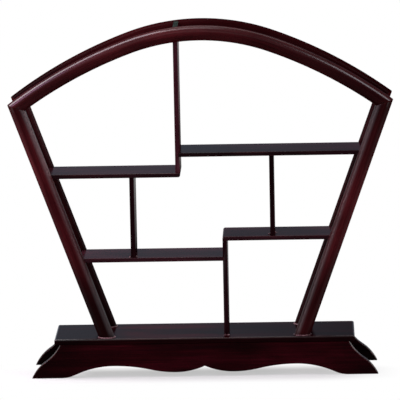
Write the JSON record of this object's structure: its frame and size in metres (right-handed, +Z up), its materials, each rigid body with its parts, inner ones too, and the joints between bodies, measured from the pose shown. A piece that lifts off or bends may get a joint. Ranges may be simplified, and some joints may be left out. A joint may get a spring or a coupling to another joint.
{
  "type": "curio stand",
  "caption": "Fan-shaped tabletop display stand in dark lacquered rosewood: paired round-rail arch frames on a scalloped base, holding stepped shelves and dividers for small curios.",
  "frame": {"origin": "on the floor under the middle of the stand, at the bottom centre of its box", "axes": "+X along the stand's width, to the right seen from the front, +Y from the front frame to the back frame, +Z up"},
  "size_m": [0.3568, 0.068, 0.329],
  "materials": {
    "rail_wood": "gloss lacquer over dark rosewood",
    "board_wood": "gloss lacquer over dark rosewood",
    "base_wood": "gloss lacquer over dark rosewood",
    "inner_wood": "bare wood, glued in"
  },
  "bodies": {
    "root": {"apron_dowels": "inner_wood", "back_apron": "base_wood", "back_arch": "rail_wood", "back_left_upright": "rail_wood", "back_right_upright": "rail_wood", "base_top": "base_wood", "corner_dowels": "inner_wood", "front_apron": "base_wood", "front_arch": "rail_wood", "front_left_upright": "rail_wood", "front_right_upright": "rail_wood", "left_batten": "inner_wood", "left_middle_divider": "board_wood", "lower_divider": "board_wood", "lower_left_shelf": "board_wood", "lower_right_shelf": "board_wood", "right_batten": "inner_wood", "right_middle_divider": "board_wood", "upper_divider": "board_wood", "upper_left_shelf": "board_wood", "upper_right_shelf": "board_wood"}
  },
  "joints": []
}
